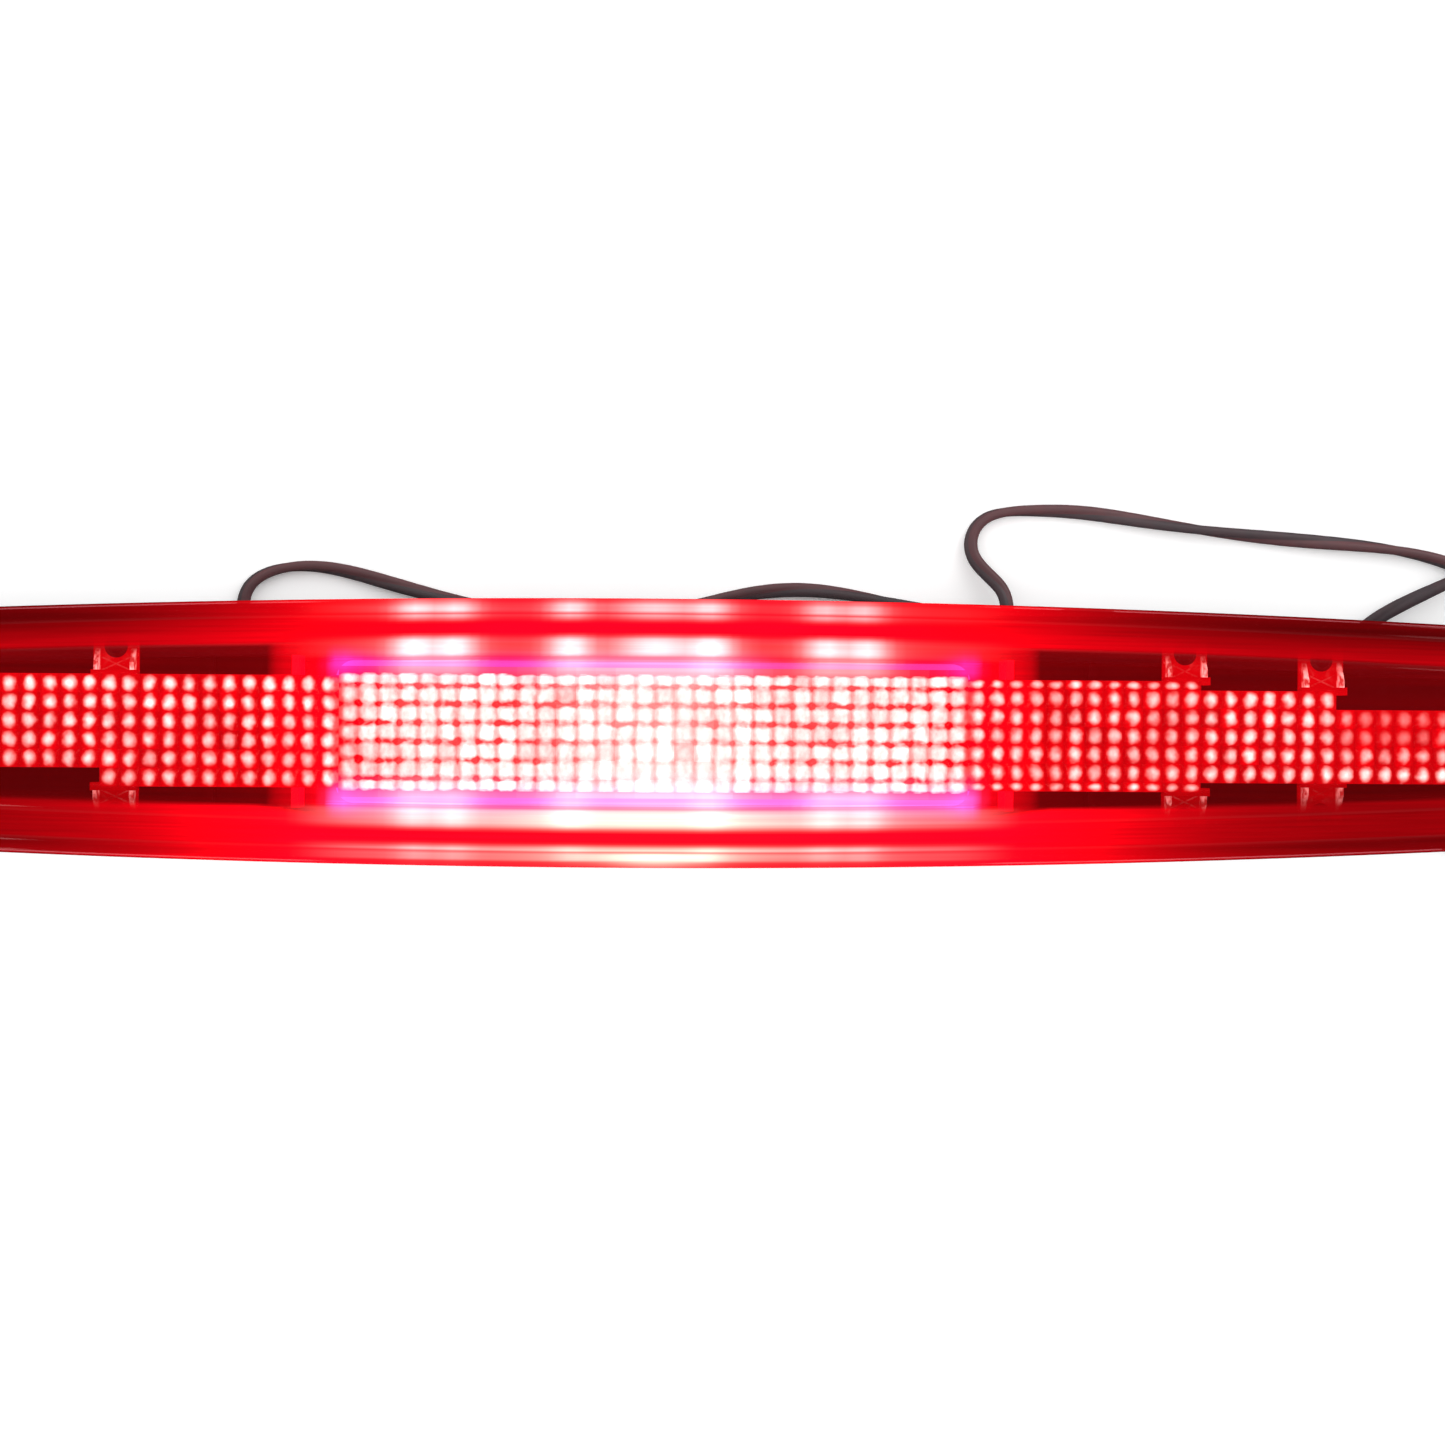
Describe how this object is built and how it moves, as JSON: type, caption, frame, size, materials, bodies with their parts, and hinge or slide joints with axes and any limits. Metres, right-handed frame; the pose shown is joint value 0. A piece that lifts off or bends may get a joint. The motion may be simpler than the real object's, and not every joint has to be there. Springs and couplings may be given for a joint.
{
  "type": "third brake light",
  "caption": "Slim high-mounted red LED brake lamp with a domed lens, pillow optic, mounting pads and a flying cable with a sealed plug.",
  "frame": {"origin": "on the mounting plane, which is the underside of the two foam pads, under the middle of the lamp", "axes": "+X along the lamp, +Y across it, +Z out of the lens away from the vehicle"},
  "size_m": [0.48, 0.089, 0.034],
  "materials": {
    "red_lens": "clear red moulded plastic",
    "black_plastic": "fine grained black plastic",
    "sealant": "soft black bonding bead",
    "foam": "closed-cell foam",
    "brass": "turned",
    "clear_optic": "clear moulded plastic",
    "frosted_box": "frosted clear plastic",
    "red_shield": "tinted clear plastic",
    "white_board": "white solder mask",
    "zinc_steel": "zinc plated",
    "led_lens": "lit clear epoxy",
    "resistor_blue": "lacquered",
    "diode_black": "moulded epoxy",
    "header_cream": "moulded nylon",
    "lead_red": "red vinyl",
    "lead_black": "black vinyl",
    "vent_black": "moulded",
    "grommet_rubber": "moulded rubber",
    "cable_vinyl": "twisted pair, red-brown and black vinyl",
    "boot_rubber": "moulded rubber",
    "plug_plastic": "moulded nylon",
    "seal_orange": "silicone",
    "tinned_brass": "tinned",
    "latch_plastic": "moulded nylon",
    "lock_plastic": "moulded nylon"
  },
  "bodies": {
    "lamp": {"outer_lens": "red_lens", "housing": "black_plastic", "lens_sealant": "sealant", "flange_gasket": "foam", "pad_gasket_left": "foam", "pad_gasket_right": "foam", "mount_inserts": "brass", "inner_optic": "clear_optic", "light_box": "frosted_box", "light_shield_left": "red_shield", "light_shield_right": "red_shield", "led_board": "white_board", "board_screws": "zinc_steel", "led_1": "led_lens", "led_2": "led_lens", "led_3": "led_lens", "led_4": "led_lens", "led_5": "led_lens", "led_6": "led_lens", "series_resistors": "resistor_blue", "protection_diode": "diode_black", "wire_header": "header_cream", "lead_positive": "lead_red", "lead_negative": "lead_black", "vent_cap": "vent_black", "cable_grommet": "grommet_rubber", "cable": "cable_vinyl", "plug_boot": "boot_rubber", "plug_housing": "plug_plastic", "plug_seal_ring": "seal_orange", "plug_terminals": "tinned_brass"},
    "latch": {"plug_latch": "latch_plastic"},
    "terminal_lock": {"plug_terminal_lock": "lock_plastic"}
  },
  "joints": [
    {"name": "latch_hinge", "type": "hinge", "parent": "lamp", "child": "latch", "pos_m": [0.213, -0.033, 0.0113], "axis": [0, -1, 0], "range_deg": [0, 6], "stiffness_Nm_per_rad": 0.05},
    {"name": "terminal_lock_slide", "type": "slide", "parent": "lamp", "child": "terminal_lock", "axis": [0, -1, 0], "range_m": [0, 0.0015]}
  ]
}
